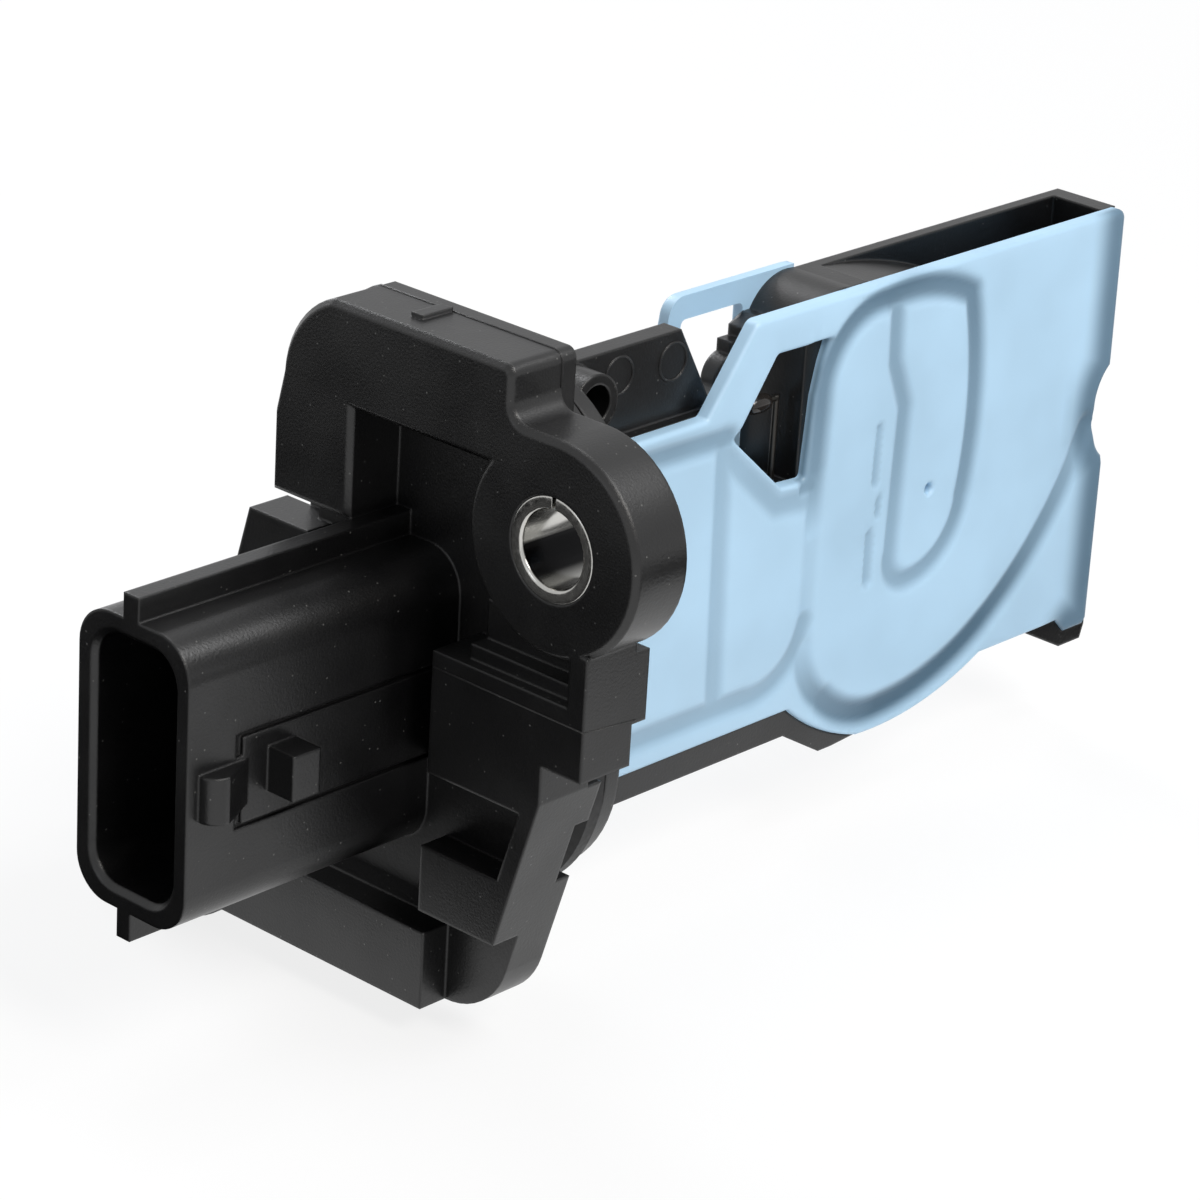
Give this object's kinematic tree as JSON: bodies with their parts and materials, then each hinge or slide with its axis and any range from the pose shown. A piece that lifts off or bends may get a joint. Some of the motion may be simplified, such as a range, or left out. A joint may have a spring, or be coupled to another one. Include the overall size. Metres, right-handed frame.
{
  "type": "mass airflow sensor",
  "caption": "Slim plug-in mass airflow sensor: boxed connector, ribbed flange with bushed screw ears, sealed neck, and a flat blade with air duct, side window and moulded covers.",
  "frame": {"origin": "centre of the two screw holes on the flange's seal face, which is the connector's centre", "axes": "+X is the insertion axis towards the blade's tip, with the connector at -X; -Y is the side of the front cover; +Z is the side of the bypass inlet"},
  "size_m": [0.1023, 0.0518, 0.0524],
  "materials": {
    "black_pbt": "moulded, fine matte grain",
    "blue_pbt": "moulded, satin",
    "bush_steel": "zinc plated, rolled",
    "seal_rubber": "smooth",
    "terminal_tin": "tin plated brass",
    "board_green": "solder resist over glass fibre",
    "chip_black": "moulded epoxy",
    "carrier_epoxy": "moulded epoxy",
    "silicon": "polished die",
    "capacitor_ceramic": "fired ceramic",
    "bead_glass": "glass coated",
    "lead_nickel": "nickel plated wire"
  },
  "bodies": {
    "root": {"housing": "black_pbt", "front_cover": "blue_pbt", "back_cover": "blue_pbt", "upper_bush": "bush_steel", "lower_bush": "bush_steel", "sealing_ring": "seal_rubber", "terminal_1": "terminal_tin", "terminal_2": "terminal_tin", "terminal_3": "terminal_tin", "terminal_4": "terminal_tin", "terminal_5": "terminal_tin", "circuit_board": "board_green", "control_chip": "chip_black", "capacitor_1": "capacitor_ceramic", "capacitor_2": "capacitor_ceramic", "capacitor_3": "capacitor_ceramic", "flow_chip_carrier": "carrier_epoxy", "flow_chip": "silicon", "thermistor_bead": "bead_glass", "thermistor_lower_lead": "lead_nickel", "thermistor_upper_lead": "lead_nickel"}
  },
  "joints": []
}
